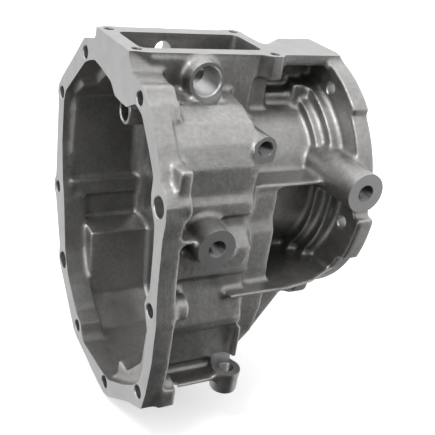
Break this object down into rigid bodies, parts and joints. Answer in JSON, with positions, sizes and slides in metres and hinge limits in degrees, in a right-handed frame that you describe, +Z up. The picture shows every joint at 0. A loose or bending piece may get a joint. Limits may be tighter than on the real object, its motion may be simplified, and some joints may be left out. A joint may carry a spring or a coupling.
{
  "type": "gearbox rear case",
  "caption": "Bare cast aluminium rear case of a manual gearbox, open at the front, with its output shaft, overdrive gear pair, synchroniser and shift rail inside.",
  "frame": {"origin": "where the output shaft's axis meets the machined face of the rear flange", "axes": "+X along the output shaft from the front flange to the rear flange, +Z up through the shift opening, +Y to the case's far side"},
  "size_m": [0.194, 0.2465, 0.299],
  "materials": {
    "cast_aluminium": "as cast, softly grained, machined on its joint faces",
    "cast_fork": "cast",
    "gear_steel": "ground and oiled",
    "bearing_steel": "ground",
    "spring_steel": "dark, oiled",
    "brass": "turned",
    "seal_rubber": "matte",
    "nylon": "natural"
  },
  "bodies": {
    "case": {"main_case": "cast_aluminium", "front_bearing_outer_race": "bearing_steel", "front_bearing_snap_ring": "spring_steel", "rear_bearing_outer_race": "bearing_steel", "rear_bearing_snap_ring": "spring_steel", "oil_seal_case": "spring_steel", "oil_seal_lip": "seal_rubber", "oil_seal_spring": "bearing_steel", "counter_bearing_outer_race": "bearing_steel", "stop_ball": "bearing_steel", "stop_spring": "spring_steel", "stop_plug": "spring_steel"},
    "output": {"output_shaft": "gear_steel", "fifth_driven_gear": "gear_steel", "front_bearing_inner_race": "bearing_steel", "rear_bearing_inner_race": "bearing_steel", "speedometer_gear": "nylon", "gear_snap_ring": "spring_steel"},
    "front_cage": {"front_bearing_cage": "brass", "front_bearing_balls": "bearing_steel"},
    "rear_cage": {"rear_bearing_cage": "brass", "rear_bearing_balls": "bearing_steel"},
    "lay_shaft": {"countershaft": "gear_steel", "synchro_hub": "gear_steel", "synchro_keys": "spring_steel", "key_springs": "spring_steel", "hub_snap_ring": "spring_steel", "thrust_washer": "brass", "counter_bearing_inner_race": "bearing_steel"},
    "lay_cage": {"counter_bearing_cage": "brass", "counter_bearing_balls": "bearing_steel"},
    "fifth_gear": {"fifth_counter_gear": "gear_steel"},
    "needles": {"needle_cage": "spring_steel", "needle_rollers": "bearing_steel"},
    "blocker": {"blocker_ring": "brass"},
    "sleeve": {"synchro_sleeve": "gear_steel"},
    "shifter": {"shift_rail": "bearing_steel", "shift_fork": "cast_fork", "fork_pin": "spring_steel", "shift_head": "cast_fork", "head_pin": "spring_steel"}
  },
  "joints": [
    {"name": "fifth_gear_spin", "type": "hinge", "parent": "case", "child": "fifth_gear", "pos_m": [-0.104, -0.03487, -0.07477], "axis": [1, 0, 0], "continuous": true},
    {"name": "output_spin", "type": "hinge", "parent": "case", "child": "output", "pos_m": [-0.094, 0, 0], "axis": [1, 0, 0], "continuous": true},
    {"name": "front_cage_spin", "type": "hinge", "parent": "case", "child": "front_cage", "pos_m": [-0.0755, 0, 0], "axis": [1, 0, 0], "continuous": true},
    {"name": "rear_cage_spin", "type": "hinge", "parent": "case", "child": "rear_cage", "pos_m": [-0.036, 0, 0], "axis": [1, 0, 0], "continuous": true},
    {"name": "needle_spin", "type": "hinge", "parent": "case", "child": "needles", "pos_m": [-0.104, -0.03487, -0.07477], "axis": [1, 0, 0], "continuous": true},
    {"name": "countershaft_spin", "type": "hinge", "parent": "case", "child": "lay_shaft", "pos_m": [-0.104, -0.03487, -0.07477], "axis": [1, 0, 0], "continuous": true},
    {"name": "lay_cage_spin", "type": "hinge", "parent": "case", "child": "lay_cage", "pos_m": [-0.082, -0.03487, -0.07477], "axis": [1, 0, 0], "continuous": true},
    {"name": "blocker_index", "type": "hinge", "parent": "lay_shaft", "child": "blocker", "pos_m": [-0.111, -0.03487, -0.07477], "axis": [1, 0, 0], "range_deg": [-1, 1]},
    {"name": "sleeve_slide", "type": "slide", "parent": "lay_shaft", "child": "sleeve", "axis": [1, 0, 0], "range_m": [0, 0.0085]},
    {"name": "rail_slide", "type": "slide", "parent": "case", "child": "shifter", "axis": [1, 0, 0], "range_m": [0, 0.0085]}
  ],
  "couplings": [
    {"joint": "output_spin", "follows": "fifth_gear_spin", "ratio": -1.64},
    {"joint": "front_cage_spin", "follows": "fifth_gear_spin", "ratio": -0.65141},
    {"joint": "rear_cage_spin", "follows": "fifth_gear_spin", "ratio": -0.65065},
    {"joint": "needle_spin", "follows": "fifth_gear_spin", "ratio": 0.5},
    {"joint": "lay_cage_spin", "follows": "countershaft_spin", "ratio": 0.39167},
    {"joint": "sleeve_slide", "follows": "rail_slide", "ratio": 1}
  ]
}
